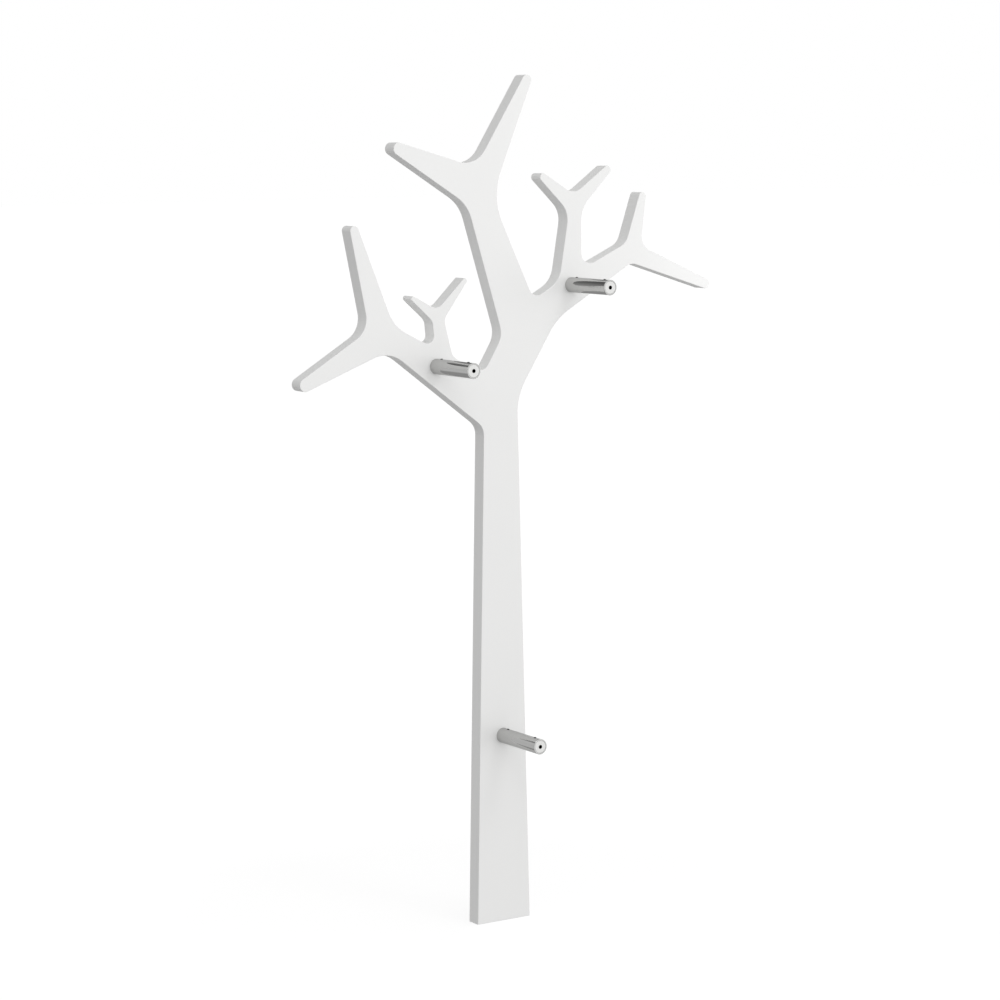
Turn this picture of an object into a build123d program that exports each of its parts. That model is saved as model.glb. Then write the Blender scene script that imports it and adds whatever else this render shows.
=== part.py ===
from build123d import *
import math
import os

# A coat rack in the shape of a bare tree, cut from one board. It stands on the foot of its trunk
# and three round stand-offs hold it away from the wall. Each stand-off is a tube that slides over
# two plugs, one screwed to the board and one screwed to the wall, and a grub screw locks each end.
#
# Frame: origin at the middle of the foot's underside, +Z up, -Y towards the wall, +Y to the room.

# ---------------------------------------------------------------- driving dimensions, millimetres
trunk_height = 1132.0        # floor to neck, where the trunk ends and the crown starts
crown_height = 808.0         # neck to the top of the highest branch
crown_width = 1107.0         # outermost tip on one side to outermost tip on the other
foot_width = 143.0
neck_width = 92.0
board_thickness = 38.0
board_edge_radius = 1.2      # the rounded arris of the lacquered board

stand_off_length = 155.0     # board to wall
tube_diameter = 35.0
tube_wall = 3.0
tube_chamfer = 0.6
low_stand_off_height = 437.0

plug_clearance = 0.08        # between a plug and the inside of its tube, all round
plug_length = 30.0
plug_chamfer = 0.6
plug_hole_diameter = 9.0     # lets the 8 mm screws through
head_recess_diameter = 14.0
head_recess_depth = 10.0

grub_inset = 22.0            # from the end of the tube to the middle of its grub screw
grub_diameter = 6.0
grub_length = 4.0
grub_key = 3.0               # across the flats of the socket
grub_key_depth = 2.0
grub_chamfer = 0.4
grub_side_clearance = 0.05   # between a grub screw and its hole in the tube
grub_tip_clearance = 0.05    # between a grub screw's tip and the plug under it

screw_diameter = 8.0
screw_length = 35.0          # under the head
screw_head_diameter = 13.0
screw_head_height = 8.0
screw_key = 6.0
screw_key_depth = 4.0
screw_tip_chamfer = 1.0
screw_head_chamfer = 0.8
insert_diameter = 12.0
insert_length = 18.0
insert_groove_depth = 0.6
insert_groove_width = 1.2
insert_grooves = 3
insert_hole_spare = 3.0      # how much deeper the board is drilled than the insert is long

# --------------------------------------------------------------------------- the outline of the tree
# The outline is a belt pulled round discs, clockwise seen from the wall. A TIP disc lies in the
# wood and the belt goes round its outside. A BEND disc lies in the air, like the cutter that leaves
# a rounded inner corner. Each has a place across from the trunk's middle, a place above the neck
# and a radius. Crown places stretch with the crown, and bends shrink with it when it is smaller.
TIP, BEND, CORNER = 1, -1, 0

CROWN = [
    # the lowest branch on the left, a fork with two tips
    (BEND, -304.5, 118.0, 75.5),
    (TIP, -503.5, 138.0, 14.5),
    (BEND, -401.0, 276.5, 51.5),
    (TIP, -376.5, 468.5, 11.0),
    (BEND, -208.0, 322.0, 90.5),
    # two twigs on the branch beside the trunk
    (BEND, -193.0, 231.5, 17.0),
    (BEND, -202.5, 252.5, 24.3),
    (TIP, -228.0, 315.4, 5.8),
    (BEND, -170.0, 318.6, 24.4),
    (TIP, -93.0, 351.5, 5.4),
    (BEND, -121.2, 261.7, 25.3),
    (BEND, -103.5, 201.0, 27.4),
    (BEND, -53.0, 171.0, 22.4),
    # the tall branch that leans left
    (BEND, -50.7, 231.2, 52.0),
    (BEND, -158.4, 462.5, 87.1),
    (TIP, -261.3, 645.3, 14.0),
    (BEND, -88.5, 673.0, 60.0),
    # the top of the tree
    (TIP, 75.6, 796.2, 11.8),
    (BEND, 134.5, 540.0, 141.0),
    (BEND, 101.0, 334.5, 23.1),
    # two twigs above the right fork
    (BEND, 108.4, 379.2, 58.8),
    (BEND, 132.2, 479.8, 52.2),
    (TIP, 119.4, 577.8, 9.3),
    (BEND, 201.6, 581.1, 36.3),
    (TIP, 296.0, 592.6, 9.2),
    (BEND, 295.8, 475.7, 73.0),
    (BEND, 248.1, 405.0, 25.1),
    # the right branch, a fork with two tips
    (BEND, 317.3, 451.1, 38.2),
    (TIP, 395.0, 530.0, 9.8),
    (BEND, 430.3, 439.1, 36.6),
    (TIP, 577.2, 322.5, 11.8),
    (BEND, 366.7, 344.6, 30.2),
    (BEND, 259.8, 146.6, 147.5),
]
left_shoulder = (0.0, 37.0)      # above the neck, radius; its disc touches the neck
right_shoulder = (46.0, 135.5)
# The two upper stand-offs, across from the trunk's middle and above the neck.
upper_stand_offs = {"upper_left": (-170.0, 163.0), "upper_right": (194.5, 332.3)}

# ------------------------------------------------------------------------------------ derived sizes
tips = [(x, up, radius) for kind, x, up, radius in CROWN if kind == TIP]
leftmost = min(tips, key=lambda tip: tip[0] - tip[2])
rightmost = max(tips, key=lambda tip: tip[0] + tip[2])
topmost = max(tips, key=lambda tip: tip[1] + tip[2])
width_scale = (crown_width - leftmost[2] - rightmost[2]) / (rightmost[0] - leftmost[0])
height_scale = (crown_height - topmost[2]) / topmost[1]
bend_scale = min(1.0, width_scale, height_scale)

board_wall_side = -board_thickness / 2
board_room_side = board_thickness / 2
wall = board_wall_side - stand_off_length
tube_inner_radius = tube_diameter / 2 - tube_wall
plug_radius = tube_inner_radius - plug_clearance
screw_seat = plug_length - head_recess_depth
insert_hole_depth = insert_length + insert_hole_spare
same_place = 0.01            # places nearer than this count as one


def in_crown(across, up):
    """A place in the crown, stretched to the crown's size."""
    return across * width_scale, trunk_height + up * height_scale


def outline_discs():
    """Every disc of the outline, from the foot's left corner round to its right corner."""
    left_up, left_radius = left_shoulder
    right_up, right_radius = right_shoulder
    discs = [
        (CORNER, -foot_width / 2, 0.0, 0.0),
        (BEND, -neck_width / 2 - left_radius, trunk_height + left_up, left_radius),
    ]
    for kind, across, up, radius in CROWN:
        x, z = in_crown(across, up)
        discs.append((kind, x, z, radius * bend_scale if kind == BEND else radius))
    discs.append((BEND, neck_width / 2 + right_radius, trunk_height + right_up, right_radius))
    discs.append((CORNER, foot_width / 2, 0.0, 0.0))
    return discs


def belt(discs):
    """The closed belt round the discs: straight runs, and an arc round each disc with a radius."""
    count = len(discs)
    runs = []
    for i in range(count):
        kind, x, z, radius = discs[i]
        next_kind, next_x, next_z, next_radius = discs[(i + 1) % count]
        # The belt passes to the left of a disc it turns right round, and to the right of the others.
        offset = kind * radius
        next_offset = next_kind * next_radius
        distance = math.hypot(next_x - x, next_z - z)
        lean = math.asin((offset - next_offset) / distance)
        angle = math.atan2(next_z - z, next_x - x) - lean
        left_x, left_z = -math.sin(angle), math.cos(angle)
        start = (x + offset * left_x, z + offset * left_z)
        end = (next_x + next_offset * left_x, next_z + next_offset * left_z)
        runs.append((start, end, angle))
    edges = []
    for i in range(count):
        start, end, angle = runs[i]
        edges.append(Line((start[0], 0, start[1]), (end[0], 0, end[1])))
        kind, x, z, radius = discs[(i + 1) % count]
        next_start, _, next_angle = runs[(i + 1) % count]
        if kind != CORNER:
            # A bend turns the belt left and a tip turns it right.
            middle_angle = angle - kind * (kind * (angle - next_angle) % (2 * math.pi)) / 2
            middle = (x - kind * radius * math.sin(middle_angle), z + kind * radius * math.cos(middle_angle))
            edges.append(ThreePointArc((end[0], 0, end[1]), (middle[0], 0, middle[1]),
                                       (next_start[0], 0, next_start[1])))
    return Wire(edges)


def bar_along_y(radius, length, x, y, z):
    """A round bar that starts at y and runs towards the room."""
    base = Plane(origin=(x, y, z), x_dir=(1, 0, 0), z_dir=(0, 1, 0))
    return base * Cylinder(radius, length, align=(Align.CENTER, Align.CENTER, Align.MIN))


def bar_up(radius, length, x, y, z):
    """A round bar that starts at z and runs upwards."""
    return Pos(x, y, z) * Cylinder(radius, length, align=(Align.CENTER, Align.CENTER, Align.MIN))


def circles_at(solid, axis, place, radius):
    """The round edges of this radius that lie at this place along the axis."""
    level = solid.edges().filter_by_position(axis, place - same_place, place + same_place)
    return [edge for edge in level.filter_by(GeomType.CIRCLE) if abs(edge.radius - radius) < same_place]


def hex_along_y(across_flats, depth, x, y, z):
    """A hexagonal prism that starts at y and runs towards the wall."""
    base = Plane(origin=(x, y, z), x_dir=(1, 0, 0), z_dir=(0, -1, 0))
    return extrude(base * RegularPolygon(across_flats / 2, 6, major_radius=False), amount=depth)


def hex_down(across_flats, depth, x, y, z):
    """A hexagonal prism that starts at z and runs downwards."""
    base = Plane(origin=(x, y, z), x_dir=(1, 0, 0), z_dir=(0, 0, -1))
    return extrude(base * RegularPolygon(across_flats / 2, 6, major_radius=False), amount=depth)


# -------------------------------------------------------------------------------------- the pieces
def make_board(places):
    """The tree, with its edges rounded and a blind hole for each threaded insert."""
    face = Face(belt(outline_discs())).moved(Location((0, board_wall_side, 0)))
    board = extrude(face, amount=board_thickness, dir=(0, 1, 0))
    rims = [edge for side in (board_wall_side, board_room_side)
            for edge in board.edges().filter_by_position(Axis.Y, side - same_place, side + same_place)]
    board = fillet(rims, board_edge_radius)
    for x, z in places:
        board -= bar_along_y(insert_diameter / 2, insert_hole_depth, x, board_wall_side, z)
    return board


def make_tube(x, z):
    """A stand-off tube from the board to the wall, with a grub screw hole on top at each end."""
    tube = bar_along_y(tube_diameter / 2, stand_off_length, x, wall, z)
    tube -= bar_along_y(tube_inner_radius, stand_off_length, x, wall, z)
    tube = chamfer(circles_at(tube, Axis.Y, wall, tube_diameter / 2), tube_chamfer)
    hole_radius = grub_diameter / 2 + grub_side_clearance
    for y in grub_places():
        tube -= bar_up(hole_radius, tube_diameter / 2, x, y, z + tube_inner_radius / 2)
    return tube


def grub_places():
    """How far along Y the grub screws stand: the one near the board, then the one near the wall."""
    return board_wall_side - grub_inset, wall + grub_inset


def make_plug(x, z, outer_end, towards_board):
    """A plug with a screw hole and a recess for the screw's head on the side inside the tube."""
    start = outer_end - plug_length if towards_board else outer_end
    plug = bar_along_y(plug_radius, plug_length, x, start, z)
    plug = chamfer(circles_at(plug, Axis.Y, outer_end, plug_radius), plug_chamfer)
    plug -= bar_along_y(plug_hole_diameter / 2, plug_length, x, start, z)
    recess_start = start if towards_board else start + screw_seat
    return plug - bar_along_y(head_recess_diameter / 2, head_recess_depth, x, recess_start, z)


def make_plug_screw(x, z):
    """The socket-head screw that fastens the board's plug to its insert."""
    under_head = board_wall_side - screw_seat
    screw = bar_along_y(screw_diameter / 2, screw_length, x, under_head, z)
    screw = chamfer(circles_at(screw, Axis.Y, under_head + screw_length, screw_diameter / 2),
                    screw_tip_chamfer)
    head_top = under_head - screw_head_height
    head = bar_along_y(screw_head_diameter / 2, screw_head_height, x, head_top, z)
    head = chamfer(circles_at(head, Axis.Y, head_top, screw_head_diameter / 2), screw_head_chamfer)
    key = hex_along_y(screw_key, screw_key_depth, x, head_top + screw_key_depth, z)
    return screw + head - key


def make_insert(x, z):
    """The threaded insert in the board, with three grooves that grip the wood."""
    insert = bar_along_y(insert_diameter / 2, insert_length, x, board_wall_side, z)
    insert -= bar_along_y(screw_diameter / 2, insert_length, x, board_wall_side, z)
    spacing = insert_length / (insert_grooves + 1)
    for k in range(1, insert_grooves + 1):
        start = board_wall_side + k * spacing - insert_groove_width / 2
        ring = bar_along_y(insert_diameter / 2, insert_groove_width, x, start, z)
        core_radius = insert_diameter / 2 - insert_groove_depth
        insert -= ring - bar_along_y(core_radius, insert_groove_width, x, start, z)
    return insert


def make_grub(x, y, z):
    """A grub screw that stands on the top of its plug, with a hexagonal socket."""
    foot = z + plug_radius + grub_tip_clearance
    top = foot + grub_length
    grub = bar_up(grub_diameter / 2, grub_length, x, y, foot)
    grub = chamfer(circles_at(grub, Axis.Z, top, grub_diameter / 2), grub_chamfer)
    return grub - hex_down(grub_key, grub_key_depth, x, y, top)


def stand_off_pieces(name, x, z):
    """The seven pieces of one stand-off, by node name."""
    near_board, near_wall = grub_places()
    return {
        name + "_tube": make_tube(x, z),
        name + "_board_plug": make_plug(x, z, board_wall_side, True),
        name + "_plug_screw": make_plug_screw(x, z),
        name + "_threaded_insert": make_insert(x, z),
        name + "_board_grub_screw": make_grub(x, near_board, z),
        name + "_wall_plug": make_plug(x, z, wall, False),
        name + "_wall_grub_screw": make_grub(x, near_wall, z),
    }


def make_all():
    """Every piece of the rack, by node name."""
    places = {name: in_crown(*place) for name, place in upper_stand_offs.items()}
    places["lower"] = (0.0, low_stand_off_height)
    pieces = {"tree_board": make_board(places.values())}
    for name, (x, z) in places.items():
        pieces.update(stand_off_pieces(name, x, z))
    return pieces


os.makedirs("parts", exist_ok=True)
for node, solid in make_all().items():
    solid.label = node
    export_step(solid, "parts/" + node + ".step")
    box = solid.bounding_box()
    print(f"{node:32s} {len(solid.solids())} solid  {solid.volume / 1000:10.2f} cm3  "
          f"{box.size.X:7.1f} x {box.size.Y:7.1f} x {box.size.Z:7.1f}")
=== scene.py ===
# %% [markdown]
# # A standing coat rack in the shape of a tree
#
# The rack is one thick white board, cut to the outline of a bare tree. It stands on the foot of its
# trunk, and three polished stand-offs hold it away from the wall. Everything that carries or moves
# comes from the CAD model, which is loaded first and never changed here. This script gives every
# part its finish, models the small screws in full, and sets up the studio and the camera.

# %% Load the frame and measure it
import math

import bmesh
import bpy
from mathutils import Matrix, Vector


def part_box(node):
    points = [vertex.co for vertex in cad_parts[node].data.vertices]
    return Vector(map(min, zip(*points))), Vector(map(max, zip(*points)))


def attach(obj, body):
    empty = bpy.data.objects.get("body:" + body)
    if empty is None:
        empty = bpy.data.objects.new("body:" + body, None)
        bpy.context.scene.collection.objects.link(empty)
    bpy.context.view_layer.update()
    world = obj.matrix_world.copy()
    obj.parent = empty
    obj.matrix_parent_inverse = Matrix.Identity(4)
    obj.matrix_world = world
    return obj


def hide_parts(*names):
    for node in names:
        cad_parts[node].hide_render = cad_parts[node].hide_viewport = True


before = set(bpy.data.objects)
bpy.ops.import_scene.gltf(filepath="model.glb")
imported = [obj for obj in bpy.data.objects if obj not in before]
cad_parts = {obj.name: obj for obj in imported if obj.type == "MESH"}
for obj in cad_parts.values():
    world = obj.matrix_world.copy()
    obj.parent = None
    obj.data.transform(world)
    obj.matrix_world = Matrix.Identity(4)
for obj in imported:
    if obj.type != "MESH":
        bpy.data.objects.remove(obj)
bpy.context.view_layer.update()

MM = 0.001                                       # the script's lengths are in metres

# %% [markdown]
# ## The camera
#
# A long lens from a few metres away keeps the tree's uprights nearly parallel. The camera stands on
# the wall's side of the rack, to the left, a little below the top of the crown. A tracking
# constraint could aim it at the rack. Three plain angles are used instead, so that the camera's
# slight roll can be set too.

# %% Place the camera
lens_mm = 104.33
camera_place = Vector((-3.5527, -5.5082, 1.8219))
camera_heading = math.radians(32.882)            # from straight at the wall's side, to the right
camera_dip = math.radians(7.320)                 # below the horizon
camera_roll = math.radians(-0.370)

camera = bpy.data.objects.new("camera", bpy.data.cameras.new("camera"))
bpy.context.scene.collection.objects.link(camera)
bpy.context.scene.camera = camera
camera.data.lens = lens_mm
camera.data.clip_end = 200
level = Matrix.Rotation(math.radians(90) - camera_dip, 4, "X")
heading = Matrix.Rotation(-camera_heading, 4, "Z")
roll = Matrix.Rotation(camera_roll, 4, "Z")
camera.matrix_world = Matrix.Translation(camera_place) @ heading @ level @ roll

# %% [markdown]
# ## Node helpers
#
# Every finish below is a small network of nodes. These helpers keep each one short. The first adds
# a node and plugs in its inputs. The next few each make one kind of node that is used often: a
# value or a colour between two others, a calculation, a noise pattern. The last two start a material and
# turn a pattern into bumps.


# %% Node helpers
def add_node(tree, kind, inputs=(), **settings):
    """Adds a node, sets its options, then sets or connects each (input, value) pair."""
    node = tree.nodes.new("ShaderNode" + kind)
    for option, value in settings.items():
        setattr(node, option, value)
    for key, value in inputs:
        if isinstance(value, bpy.types.NodeSocket):
            tree.links.new(value, node.inputs[key])
        else:
            node.inputs[key].default_value = value
    return node


def between(tree, share, low, high, start=0.0, stop=1.0, **settings):
    """A value that runs from low to high while share runs from start to stop."""
    inputs = [("Value", share), ("From Min", start), ("From Max", stop), ("To Min", low), ("To Max", high)]
    return add_node(tree, "MapRange", inputs, **settings).outputs["Result"]


def mix_value(tree, share, first, second):
    """The first value where share is 0 and the second where it is 1. Either can be a pattern."""
    return add_node(tree, "Mix", [(0, share), (2, first), (3, second)]).outputs[0]


def tint(tree, share, first, second):
    """A colour that runs from first to second while share runs from 0 to 1."""
    mix = add_node(tree, "Mix", [(0, share), (6, (*first, 1)), (7, (*second, 1))], data_type="RGBA")
    return mix.outputs[2]


def calculate(tree, operation, *values):
    """The result of one arithmetic node."""
    return add_node(tree, "Math", enumerate(values), operation=operation).outputs[0]


def grain(tree, where, size, **more):
    """A noise pattern whose clouds are about that size. More sets its Detail and Roughness."""
    inputs = [("Vector", where), ("Scale", 1 / size)]
    return add_node(tree, "TexNoise", inputs + list(more.items())).outputs["Fac"]


def new_finish(name, metallic, **sockets):
    """An empty finish: its node tree, its main shader and the object's own coordinates."""
    material = bpy.data.materials.new(name)
    material.use_nodes = True
    tree = material.node_tree
    shader = tree.nodes["Principled BSDF"]
    shader.inputs["Metallic"].default_value = metallic
    for key, value in sockets.items():
        shader.inputs[key].default_value = value
    place = add_node(tree, "TexCoord")
    return material, tree, shader, place


def relief(tree, shader, height, depth, strength, under=None):
    """Turns a height pattern into bumps of that depth on the shader, on top of other bumps."""
    inputs = [("Height", height), ("Distance", depth), ("Strength", strength)]
    if under is not None:
        inputs.append(("Normal", under))
    bump = add_node(tree, "Bump", inputs)
    tree.links.new(bump.outputs["Normal"], shader.inputs["Normal"])
    return bump.outputs["Normal"]


# %% [markdown]
# ## The stage
#
# The rack stands on a white table, a grid of one face far larger than the view, so that its edge is
# never seen. The table is hidden from the light that bounces on the rack, because one this bright
# would light the undersides of the branches too much. It lies a hair below the foot: two faces in
# one plane would flicker.

# %% Make the floor
floor_half_width = 60.0
floor_gap = 0.2 * MM

shape = bmesh.new()
bmesh.ops.create_grid(shape, x_segments=1, y_segments=1, size=floor_half_width)
bmesh.ops.translate(shape, vec=(0, 0, -floor_gap), verts=shape.verts)
floor = bpy.data.objects.new("floor", bpy.data.meshes.new("floor"))
shape.to_mesh(floor.data)
shape.free()
bpy.context.scene.collection.objects.link(floor)
floor.visible_diffuse = False
floor.visible_glossy = False
floor.visible_shadow = False
print("the floor is", 2 * floor_half_width, "m wide")

# %% [markdown]
# ## A light table
#
# A matt white floor would turn grey with distance, so this one also glows by itself, like a table
# for looking at slides. The two shaders are added: the glow brings the floor almost to white, and
# the matt part answers to the lamps just enough for a shadow. The glow is a little weaker round
# the foot: that is a painted shade, which deepens the real shadow there, while nothing is seen farther
# away.

# %% Light the floor
# The lower glow at the foot is a painted shade round it; farther away the floor glows evenly.
floor_glow_with_painted_shade = (0.768, 0.815)                      # at the foot and away from it
painted_shade_run = (0.7, 1.6)                            # where the one runs into the other
floor_reply = 0.300                              # how much of the falling light it gives back

light_table = bpy.data.materials.new("light_table")
light_table.use_nodes = True
tree = light_table.node_tree
tree.nodes.clear()
away = add_node(tree, "VectorMath", [(0, add_node(tree, "TexCoord").outputs["Object"])],
                operation="LENGTH").outputs["Value"]
strength = between(tree, away, *floor_glow_with_painted_shade, *painted_shade_run)
glow = add_node(tree, "Emission", [("Strength", strength)])
matt = add_node(tree, "BsdfDiffuse", [("Color", (floor_reply, floor_reply, floor_reply, 1))])
both = add_node(tree, "AddShader", [(0, glow.outputs[0]), (1, matt.outputs[0])])
add_node(tree, "OutputMaterial", [("Surface", both.outputs[0])])
floor.data.materials.append(light_table)
print("the floor glows at", floor_glow_with_painted_shade[0], "round the foot and at", floor_glow_with_painted_shade[1], "farther away")

# %% [markdown]
# ## The studio's light
#
# A white rack on a white ground is drawn by small steps of grey, so the light comes from a tent of
# white cloth that is brighter on some sides than on others. The tent is the world's background: each
# of its four walls has a tone near the floor, one at eye level and one overhead, and the tones run
# softly into each other. The dim ceiling on the room's side is what the polished tubes show as
# dark streaks. A set of glowing planes would do the same, but they would stand in the way of
# cameras at other angles, and a world doesn't.

# %% Choose the tones of the tent
# The tones near the floor, at eye level and overhead.
TENT = {
    "room": ((0, 1), (0.46, 0.90, 0.10)),
    "left": ((-1, 0), (0.14, 0.36, 0.88)),
    "wall": ((0, -1), (0.74, 0.955, 0.98)),
    "right": ((1, 0), (0.42, 1.35, 0.80)),
}
floor_blend = (math.radians(-26), math.radians(-16))
ceiling_blend = (math.radians(20), math.radians(30))
print("the tent has", len(TENT), "walls")

# %% Start the world and find where each ray goes
world = bpy.data.worlds.new("tent")
bpy.context.scene.world = world
world.use_nodes = True
tree = world.node_tree
tree.nodes.clear()
toward = add_node(tree, "TexCoord").outputs["Generated"]
toward = add_node(tree, "VectorMath", [(0, toward)], operation="NORMALIZE").outputs[0]
height = add_node(tree, "SeparateXYZ", [(0, toward)]).outputs["Z"]
flat = add_node(tree, "VectorMath", [(0, toward), (1, (1, 1, 0))], operation="MULTIPLY").outputs[0]
flat = add_node(tree, "VectorMath", [(0, flat)], operation="NORMALIZE").outputs[0]
print("the world", world.name, "has", len(tree.nodes), "nodes so far")

# %% [markdown]
# ## Joining the walls of the tent
#
# A ray counts towards a wall by the square of how far it points that way. The squares for north
# and east always add up to one, so the four walls meet without a seam. The camera itself sees
# plain white, as it would past the edge of the cloth: the Light Path node tells its rays apart.


# %% Join the walls
def blend_at(angles):
    """0 below the first angle above the horizon and 1 above the second, with a soft run between."""
    start, stop = (math.sin(angle) for angle in angles)
    return between(tree, height, 0.0, 1.0, start, stop, interpolation_type="SMOOTHSTEP")


above_floor = blend_at(floor_blend)
in_ceiling = blend_at(ceiling_blend)
total = 0.0
for side, tones in TENT.values():
    facing = add_node(tree, "VectorMath", [(0, flat), (1, (*side, 0))], operation="DOT_PRODUCT")
    ahead = calculate(tree, "MAXIMUM", facing.outputs["Value"], 0.0)
    share = calculate(tree, "POWER", ahead, 2.0)
    tone = mix_value(tree, in_ceiling, between(tree, above_floor, tones[0], tones[1]), tones[2])
    total = calculate(tree, "MULTIPLY_ADD", share, tone, total)
cloth = add_node(tree, "Background", [("Color", (1, 1, 1, 1)), ("Strength", total)])
backdrop = add_node(tree, "Background", [("Color", (1, 1, 1, 1))])
to_camera = add_node(tree, "LightPath").outputs["Is Camera Ray"]
seen = add_node(tree, "MixShader", [(0, to_camera), (1, cloth.outputs[0]), (2, backdrop.outputs[0])])
add_node(tree, "OutputWorld", [("Surface", seen.outputs[0])])
bpy.context.scene.view_settings.view_transform = "Standard"
print("the finished world has", len(tree.nodes), "nodes")

# %% [markdown]
# ## Four lamps
#
# A tent alone leaves a flat board looking flat. A large lamp above and to the right of the camera
# makes the crown a little lighter than the foot and lays a faint shadow on the floor behind the
# trunk. Three small ones lift the left side of the trunk and the ends of the branches. A sun
# would light foot and crown alike, so these are area lamps, whose light fades with distance.


# %% Hang the lamps
def hang_lamp(name, place, aim, size, power):
    """A square lamp that faces a point. The camera doesn't see the lamp itself."""
    light = bpy.data.lights.new(name, "AREA")
    light.size = size
    light.energy = power
    lamp = bpy.data.objects.new(name, light)
    lamp.location = place
    lamp.rotation_euler = (Vector(aim) - Vector(place)).to_track_quat("-Z", "Y").to_euler()
    lamp.visible_camera = False
    bpy.context.scene.collection.objects.link(lamp)


crown_middle = (0.0, 0.0, 1.4)
trunk_middle = (0.0, 0.0, 0.45)
right_tip = (0.52, 0.0, 1.48)
hang_lamp("key_lamp", place=(0.65, -2.1, 3.0), aim=crown_middle, size=0.9, power=8.0)
hang_lamp("branch_lamp", place=(-0.8, -1.6, 2.3), aim=crown_middle, size=0.5, power=2.0)
hang_lamp("trunk_lamp", place=(-1.2, -0.35, 0.45), aim=trunk_middle, size=0.5, power=0.45)
hang_lamp("tip_lamp", place=(0.80, -0.35, 1.52), aim=right_tip, size=0.2, power=0.24)
print("the lamps give", round(sum(lamp.energy for lamp in bpy.data.lights), 2), "W")

# %% [markdown]
# ## A dark flag
#
# Polished metal is drawn by what it mirrors. A grey card behind the crown, which studios call a
# flag, gives the tubes a crisp dark streak. It could be one more patch in the world, but a card
# that hangs close by shows each tube a different view of itself, as real ones do. It is hidden
# from the camera and from everything but reflections.

# %% Hang the flag
flag_width = 0.62
flag_height = 0.80
flag_middle = Vector((0.02, 0.50, 1.87))
flag_glow = (0.42, 0.15)                         # at its lower edge and from its middle up

shape = bmesh.new()
bmesh.ops.create_grid(shape, x_segments=1, y_segments=1, size=0.5)
bmesh.ops.scale(shape, vec=(flag_width, flag_height, 1), verts=shape.verts)
bmesh.ops.rotate(shape, matrix=Matrix.Rotation(math.radians(90), 3, "X"), verts=shape.verts)
bmesh.ops.translate(shape, vec=flag_middle, verts=shape.verts)
flag = bpy.data.objects.new("flag", bpy.data.meshes.new("flag"))
shape.to_mesh(flag.data)
shape.free()
bpy.context.scene.collection.objects.link(flag)
flag.visible_camera = False
flag.visible_diffuse = False
flag.visible_shadow = False

card = bpy.data.materials.new("grey_card")
card.use_nodes = True
tree = card.node_tree
tree.nodes.clear()
level = add_node(tree, "SeparateXYZ", [(0, add_node(tree, "TexCoord").outputs["Object"])]).outputs["Z"]
tone = between(tree, level, *flag_glow, flag_middle.z - flag_height / 2, flag_middle.z)
glow = add_node(tree, "Emission", [("Strength", tone)])
add_node(tree, "OutputMaterial", [("Surface", glow.outputs[0])])
flag.data.materials.append(card)
print("the flag is", flag_width, "by", flag_height, "m")

# %% [markdown]
# ## White lacquer
#
# The board is fibreboard with sprayed lacquer. Its faces are satin, with the faint dimples that
# painters call orange peel, and not quite even in sheen. Its routed edges drink more lacquer, so
# they are duller and a little coarser. Two materials would need the board's faces to be sorted
# first. One is enough here, because it can tell edge from face by which way the surface points.

# %% Spray the lacquer
peel_size = 3 * MM
fibre_size = 0.9 * MM
sheen_patch = 250 * MM
lacquer_relief = 0.03 * MM
face_starts, face_full = 0.4, 0.8                # how far a face's normal points along Y
fresh_white = (0.88, 0.88, 0.872)
aged_white = (0.85, 0.85, 0.845)
edge_roughness = 0.55
fibre_on_face = 0.1                              # its share of the relief on an edge

lacquer, tree, shader, place = new_finish("white_lacquer", 0.0, IOR=1.48)
points = add_node(tree, "SeparateXYZ", [(0, place.outputs["Normal"])]).outputs["Y"]
across = calculate(tree, "ABSOLUTE", points)
on_face = between(tree, across, 0.0, 1.0, face_starts, face_full)
patch = grain(tree, place.outputs["Object"], sheen_patch, Detail=3.0)
peel = grain(tree, place.outputs["Object"], peel_size, Detail=1.0)
fibre = grain(tree, place.outputs["Object"], fibre_size, Detail=4.0, Roughness=0.7)
tree.links.new(tint(tree, patch, fresh_white, aged_white), shader.inputs["Base Color"])
sheen = mix_value(tree, on_face, edge_roughness, between(tree, patch, 0.34, 0.44))
tree.links.new(sheen, shader.inputs["Roughness"])
dimples = relief(tree, shader, peel, lacquer_relief, 0.6)
coarse = calculate(tree, "MULTIPLY", fibre, between(tree, on_face, 1.0, fibre_on_face))
relief(tree, shader, coarse, lacquer_relief, 0.6, under=dimples)
print("the lacquer has", len(tree.nodes), "nodes")

# %% [markdown]
# ## Polished steel tube
#
# The tubes are stainless steel, ground and polished while they turn. That leaves hair lines round
# the tube, far too fine to see one by one: they only stretch each highlight along its length. The
# shader's anisotropy could stretch them too, but it needs tangents, which a CAD mesh may lack. So
# the lines are a noise that changes along the tube and not around it. Larger smears make the
# polish a little uneven.

# %% Polish the tubes
hair_line = 0.25 * MM
hair_line_relief = 0.002 * MM
smear_size = 1 / 60
polished_steel = (0.575, 0.575, 0.565)
dull_steel = (0.53, 0.53, 0.525)
grazing_tint = (0.7, 0.7, 0.7, 1)                # a hand-polished tube doesn't turn to a mirror there

steel, tree, shader, place = new_finish("polished_tube", 1.0)
shader.inputs["Specular Tint"].default_value = grazing_tint
turned = add_node(tree, "Mapping", [("Vector", place.outputs["Object"]), ("Scale", (0.0, 1.0, 0.0))])
lines = grain(tree, turned.outputs[0], hair_line, Detail=2.0)
smears = grain(tree, place.outputs["Object"], smear_size, Detail=4.0)
tree.links.new(tint(tree, smears, polished_steel, dull_steel), shader.inputs["Base Color"])
tree.links.new(between(tree, smears, 0.05, 0.12), shader.inputs["Roughness"])
relief(tree, shader, lines, hair_line_relief, 0.5)
print("the tube finish has", len(tree.nodes), "nodes")
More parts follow.
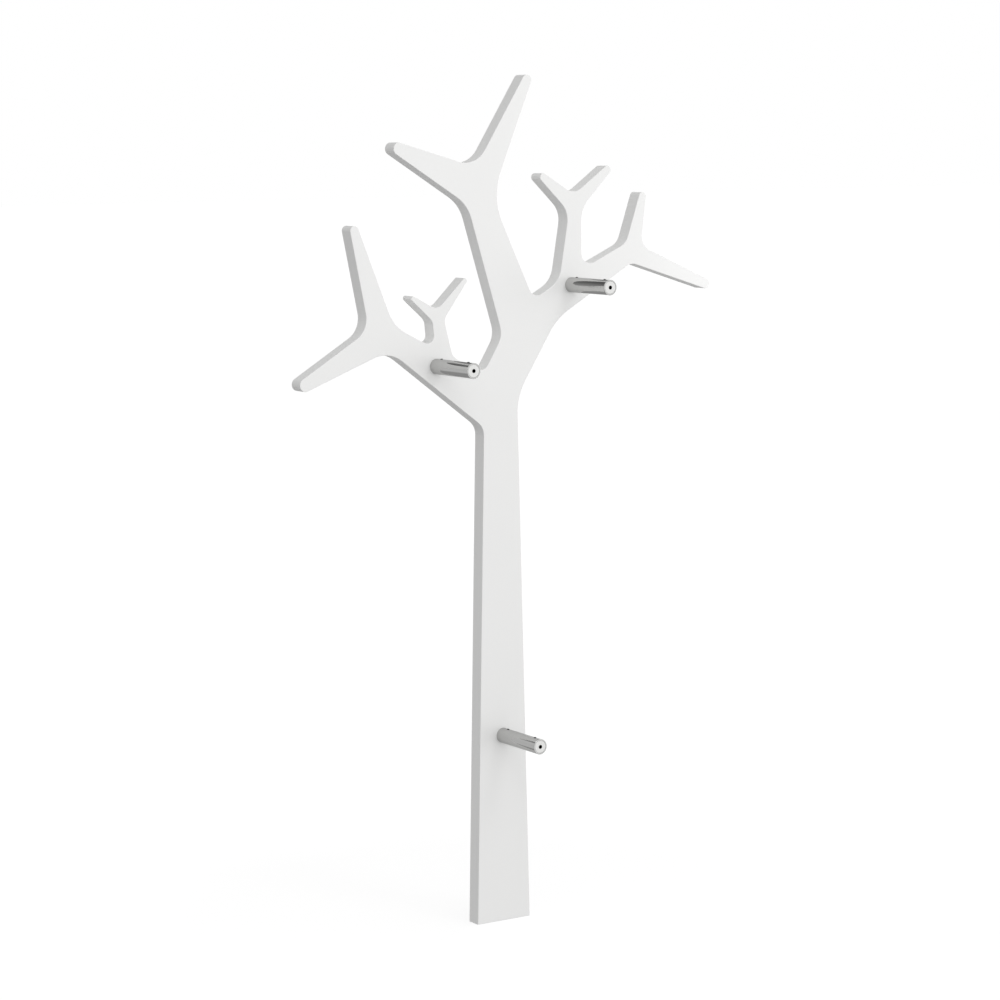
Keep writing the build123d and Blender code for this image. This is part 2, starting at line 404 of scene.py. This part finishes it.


# %% [markdown]
# ## Turned plugs
#
# A plug is faced on a lathe, and the tool leaves fine rings round its middle. The rings are drawn
# from the distance to the plug's own axis, and a sine of it is cheaper than a ring texture that
# would have to be moved to each plug. The screw hole is coloured almost black and rough, a painted shade
# for the hole's depth.

# %% Turn the plugs
ring_pitch = 0.35 * MM
ring_relief = 0.004 * MM
plug_cloud = 1 / 300
bright_plug = (0.76, 0.76, 0.75)
dull_plug = (0.70, 0.70, 0.69)
bore_radius = 4.55 * MM                          # just wider than the screw hole
# painted shade: the inside of the screw hole is coloured almost black
painted_bore_shade = (0.006, 0.006, 0.006)
bore_roughness = 0.9


def turned_face(name, centre):
    """Bright satin metal with tool rings round an axis that runs from wall to room."""
    material, tree, shader, place = new_finish(name, 1.0)
    on_axis = (-centre.x, 0, -centre.z)
    middle = add_node(tree, "Mapping", [("Vector", place.outputs["Object"]), ("Location", on_axis),
                                        ("Scale", (1, 0, 1))])
    reach = add_node(tree, "VectorMath", [(0, middle.outputs[0])], operation="LENGTH").outputs["Value"]
    rings = calculate(tree, "SINE", calculate(tree, "MULTIPLY", reach, 2 * math.pi / ring_pitch))
    cloud = grain(tree, place.outputs["Object"], plug_cloud, Detail=5.0)
    in_bore = calculate(tree, "LESS_THAN", reach, bore_radius)
    metal = tint(tree, cloud, bright_plug, dull_plug)
    # inside the screw hole the colour is a painted shade, almost black
    colour = add_node(tree, "Mix", [(0, in_bore), (6, metal), (7, (*painted_bore_shade, 1))], data_type="RGBA")
    tree.links.new(colour.outputs[2], shader.inputs["Base Color"])
    sheen = mix_value(tree, in_bore, between(tree, cloud, 0.22, 0.34), bore_roughness)
    tree.links.new(sheen, shader.inputs["Roughness"])
    relief(tree, shader, rings, ring_relief, 0.5)
    return material


print("the tool rings are", round(ring_pitch / MM, 2), "mm apart")

# %% [markdown]
# ## Fasteners: zinc, brass and black oxide
#
# The screws that hold the stand-offs are zinc plated, the inserts that grip the board are brass, and
# the grub screws that lock the tubes are blackened steel. The three finishes differ in colour and
# sheen but are made alike: a cloudy pattern moves the colour and the sheen together, as thin plating
# and handling do.


# %% Plate and blacken the fasteners
plating_cloud = 1 / 500
plating_relief = 0.01 * MM


def plated(name, metallic, fresh, worn, smooth, dull):
    """A plated metal that runs from fresh and smooth to worn and dull in small clouds."""
    material, tree, shader, place = new_finish(name, metallic)
    cloud = grain(tree, place.outputs["Object"], plating_cloud, Detail=6.0, Roughness=0.6)
    tree.links.new(tint(tree, cloud, fresh, worn), shader.inputs["Base Color"])
    tree.links.new(between(tree, cloud, smooth, dull), shader.inputs["Roughness"])
    relief(tree, shader, cloud, plating_relief, 0.5)
    return material


zinc = plated("zinc_screw", metallic=1.0, fresh=(0.78, 0.80, 0.83), worn=(0.60, 0.62, 0.66),
              smooth=0.18, dull=0.42)
brass = plated("brass_insert", metallic=1.0, fresh=(0.83, 0.62, 0.28), worn=(0.66, 0.46, 0.19),
               smooth=0.16, dull=0.38)
black_oxide = plated("black_grub", metallic=0.7, fresh=(0.020, 0.020, 0.022),
                     worn=(0.075, 0.074, 0.072), smooth=0.30, dull=0.55)
print("the fasteners are finished in", ", ".join(finish.name for finish in (zinc, brass, black_oxide)))

# %% [markdown]
# ## Threads
#
# A thread is one rib that climbs round a core. Bump can draw its lines, but the outline stays a
# plain cylinder, so these are real threads: one pitch of the rib's profile is spun round the axis
# and raised a little at each step, the neighbouring turns are joined, and two flat cuts give the
# ends. The first and last turns are thinned to the core, as a die leaves them.


# %% Cut a thread
def cut_thread(shape, crest, root, pitch, low, high, steps=36):
    """A thread round the Z axis with flat ends. Returns the edges round its low and high end."""
    land = pitch / 8
    turns = math.ceil((high - low) / pitch) + 2
    profile = [(root, 0), (crest, pitch / 2 - land), (crest, pitch / 2 + land), (root, pitch)]
    rib = [shape.verts.new((reach, 0, low - pitch + rise)) for reach, rise in profile]
    rib += [shape.edges.new(pair) for pair in zip(rib, rib[1:])]
    bmesh.ops.spin(shape, geom=rib, cent=(0, 0, 0), axis=(0, 0, 1), dvec=(0, 0, pitch / steps),
                   angle=2 * math.pi * turns, steps=steps * turns, use_merge=False)
    bmesh.ops.remove_doubles(shape, verts=shape.verts, dist=pitch / 200)
    for vert in shape.verts:
        from_end = min(vert.co.z - low, high - vert.co.z)
        reach = vert.co.xy.length
        allowed = root + max(0.0, from_end)
        if reach > allowed:
            vert.co.xy *= allowed / reach
    for level, outward in ((low, -1), (high, 1)):
        everything = shape.verts[:] + shape.edges[:] + shape.faces[:]
        bmesh.ops.bisect_plane(shape, geom=everything, dist=pitch / 1000, plane_co=(0, 0, level),
                               plane_no=(0, 0, outward), clear_outer=True)
    rims = []
    for level in (low, high):
        rims.append([edge for edge in shape.edges if edge.is_boundary
                     and all(abs(vert.co.z - level) < pitch / 100 for vert in edge.verts)])
    return rims


# %% [markdown]
# ## Ends and sockets
#
# A cut thread is an open sleeve. Its ends are closed in the plane of the cut: either with one flat
# face, or with a band between the rim and a smaller ring. The band is filled with triangles,
# because bridging two rings twists when they have different numbers of points. A socket is
# the hexagonal ring drawn down into the screw, with the cone of the drill at its bottom.


# %% Close the ends of a screw
def ring(shape, reach, level, sides=48):
    """A bare ring of edges round the Z axis."""
    made = bmesh.ops.create_circle(shape, segments=sides, radius=reach)["verts"]
    bmesh.ops.translate(shape, vec=(0, 0, level), verts=made)
    return [edge for edge in shape.edges if edge.verts[0] in made and edge.verts[1] in made]


def join_rings(shape, first, second):
    """Fills the flat gap between two rings at one level."""
    bmesh.ops.triangle_fill(shape, edges=first + second, normal=(0, 0, 1), use_beauty=True)


def sink_socket(shape, rim, level, across_flats, depth):
    """Closes the end inside the rim with a hexagonal socket that has a drilled point."""
    mouth = ring(shape, across_flats / math.sqrt(3), level, sides=6)
    join_rings(shape, rim, mouth)
    walls = bmesh.ops.extrude_edge_only(shape, edges=mouth)["geom"]
    low_verts = [piece for piece in walls if isinstance(piece, bmesh.types.BMVert)]
    low_edges = [piece for piece in walls if isinstance(piece, bmesh.types.BMEdge) and piece.is_boundary]
    bmesh.ops.translate(shape, vec=(0, 0, -depth), verts=low_verts)
    floor_faces = bmesh.ops.holes_fill(shape, edges=low_edges, sides=0)["faces"]
    point = bmesh.ops.poke(shape, faces=floor_faces)["verts"]
    bmesh.ops.translate(shape, vec=(0, 0, -across_flats / 6), verts=point)


def close_end(shape, rim):
    """Closes the end inside the rim with a flat face."""
    bmesh.ops.holes_fill(shape, edges=rim, sides=0)


# %% [markdown]
# ## Putting a fastener in place
#
# Each screw is modelled at the origin, where its axis is the Z axis, then turned and moved point by
# point. The object could be moved instead, but then its finish, which reads the object's own
# coordinates, would no longer share the rack's. Each one stands in for a plain CAD part: that part
# is hidden, and the new piece moves with the same body.

# %% Put a fastener in place
sharp_from = math.radians(32)                    # thread flanks stay sharp, round sides look round


def make_fastener(name, shape, finish, body, node, place, turn=0.0):
    """Turns the shape round X, puts it in place of the CAD node and gives it its finish."""
    bmesh.ops.recalc_face_normals(shape, faces=shape.faces)
    bmesh.ops.rotate(shape, matrix=Matrix.Rotation(turn, 3, "X"), verts=shape.verts)
    bmesh.ops.translate(shape, vec=place, verts=shape.verts)
    piece = bpy.data.objects.new(name, bpy.data.meshes.new(name))
    shape.to_mesh(piece.data)
    open_edges = sum(edge.is_boundary for edge in shape.edges)
    shape.free()
    piece.data.shade_smooth()
    piece.data.set_sharp_from_angle(angle=sharp_from)
    piece.data.materials.append(finish)
    bpy.context.scene.collection.objects.link(piece)
    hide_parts(node)
    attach(piece, body)
    print(name, "has", len(piece.data.polygons), "faces and", open_edges, "open edges")


# %% [markdown]
# ## Grub screws
#
# A grub screw is all thread, with a hexagonal socket in its top and a cup in its tip that bites the
# plug. Its size is read from the CAD part that it stands for.

# %% Make a grub screw
grub_pitch = 1.0 * MM
grub_key = 3.0 * MM
grub_key_depth = 2.0 * MM
thread_depth = 0.61                              # of the pitch


def make_grub(name, node, body):
    """A blackened grub screw in place of the CAD node."""
    low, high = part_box(node)
    middle = (low + high) / 2
    half = (high.z - low.z) / 2
    crest = (high.x - low.x) / 2
    shape = bmesh.new()
    tip, top = cut_thread(shape, crest, crest - thread_depth * grub_pitch, grub_pitch, -half, half)
    sink_socket(shape, top, half, grub_key, grub_key_depth)
    cup = ring(shape, crest / 2, -half)
    join_rings(shape, tip, cup)
    cup_face = bmesh.ops.holes_fill(shape, edges=cup, sides=0)["faces"]
    point = bmesh.ops.poke(shape, faces=cup_face)["verts"]
    bmesh.ops.translate(shape, vec=(0, 0, crest / 4), verts=point)
    make_fastener(name, shape, black_oxide, body, node, middle)


# %% [markdown]
# ## Socket-head screws
#
# The screw that holds a plug to the board has a round knurled head with a hexagonal socket. Head
# and plain shank are spun from one profile. For the knurl, the head's side is spun in many steps
# and every other column of points is drawn in a little, which gives straight ridges.

# %% Make a socket-head screw
screw_crest = 4.0 * MM
screw_pitch = 1.25 * MM
thread_length = 28.0 * MM
head_height = 8.0 * MM
head_bevel = 0.8 * MM
screw_key = 6.0 * MM
screw_key_depth = 4.0 * MM
knurls = 48
knurl_depth = 0.25 * MM
same_level = 0.01 * MM                           # points this close in height are on one level


def make_plug_screw(name, node):
    """A zinc-plated socket-head screw in place of the CAD node, with its head towards the wall."""
    low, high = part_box(node)
    head_reach = (high.x - low.x) / 2
    length = high.y - low.y
    shape = bmesh.new()
    plain_end = -length + thread_length
    root = screw_crest - thread_depth * screw_pitch
    tip, neck = cut_thread(shape, screw_crest, root, screw_pitch, -length, plain_end)
    close_end(shape, tip)
    profile = [(screw_crest, plain_end), (screw_crest, -head_height),
               (head_reach - head_bevel / 2, -head_height), (head_reach, -head_height + head_bevel / 2),
               (head_reach, -head_bevel), (head_reach - head_bevel, 0)]
    line = [shape.verts.new((reach, 0, level)) for reach, level in profile]
    line += [shape.edges.new(pair) for pair in zip(line, line[1:])]
    bmesh.ops.spin(shape, geom=line, cent=(0, 0, 0), axis=(0, 0, 1), angle=2 * math.pi,
                   steps=2 * knurls, use_merge=True)
    for vert in shape.verts:
        column = round(math.atan2(vert.co.y, vert.co.x) * knurls / math.pi)
        if column % 2 and vert.co.xy.length > head_reach - head_bevel / 4:
            vert.co.xy *= 1 - knurl_depth / head_reach
    open_now = [edge for edge in shape.edges if edge.is_boundary]
    shank = [edge for edge in open_now
             if edge not in neck and abs(edge.verts[0].co.z - plain_end) < same_level]
    join_rings(shape, neck, shank)
    top = [edge for edge in open_now if abs(edge.verts[0].co.z) < same_level]
    sink_socket(shape, top, 0, screw_key, screw_key_depth)
    place = Vector(((low.x + high.x) / 2, low.y, (low.z + high.z) / 2))
    make_fastener(name, shape, zinc, "rack", node, place, math.radians(90))


# %% [markdown]
# ## Threaded inserts
#
# The insert is a brass sleeve with a coarse thread outside, which cuts its own way into the board,
# and the screw's hole inside. It uses the same thread as the screws with a wider pitch. The hole
# is left smooth, since the screw fills it.

# %% Make a threaded insert
insert_pitch = 2.5 * MM
insert_thread_depth = 0.8 * MM


def make_insert(name, node):
    """A brass insert in place of the CAD node."""
    low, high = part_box(node)
    half = (high.y - low.y) / 2
    crest = (high.x - low.x) / 2
    shape = bmesh.new()
    ends = cut_thread(shape, crest, crest - insert_thread_depth, insert_pitch, -half, half)
    bores = [ring(shape, screw_crest, level) for level in (-half, half)]
    for end, bore in zip(ends, bores):
        join_rings(shape, end, bore)
    bmesh.ops.bridge_loops(shape, edges=bores[0] + bores[1])
    middle = (low + high) / 2
    make_fastener(name, shape, brass, "rack", node, middle, math.radians(90))


# %% [markdown]
# ## Putting it all together
#
# The board and each stand-off's tube and plugs keep their CAD meshes and only get a finish. The
# fasteners are made once per stand-off. The grub screw near the wall moves with its own lock,
# and everything else moves with the rack.


# %% Put every finish and fastener in place
def finish_node(name, material):
    """Gives a CAD part its finish."""
    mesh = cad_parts[name].data
    mesh.materials.clear()
    mesh.materials.append(material)


finish_node("tree_board", lacquer)
for stand_off in ("upper_left", "upper_right", "lower"):
    low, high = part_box(stand_off + "_tube")
    turned = turned_face("turned_plug_" + stand_off, (low + high) / 2)
    finish_node(stand_off + "_tube", steel)
    finish_node(stand_off + "_wall_plug", turned)
    finish_node(stand_off + "_board_plug", turned)
    make_grub(stand_off + "_board_grub", stand_off + "_board_grub_screw", "rack")
    make_grub(stand_off + "_wall_grub", stand_off + "_wall_grub_screw", stand_off + "_lock")
    make_plug_screw(stand_off + "_socket_screw", stand_off + "_plug_screw")
    make_insert(stand_off + "_brass_insert", stand_off + "_threaded_insert")
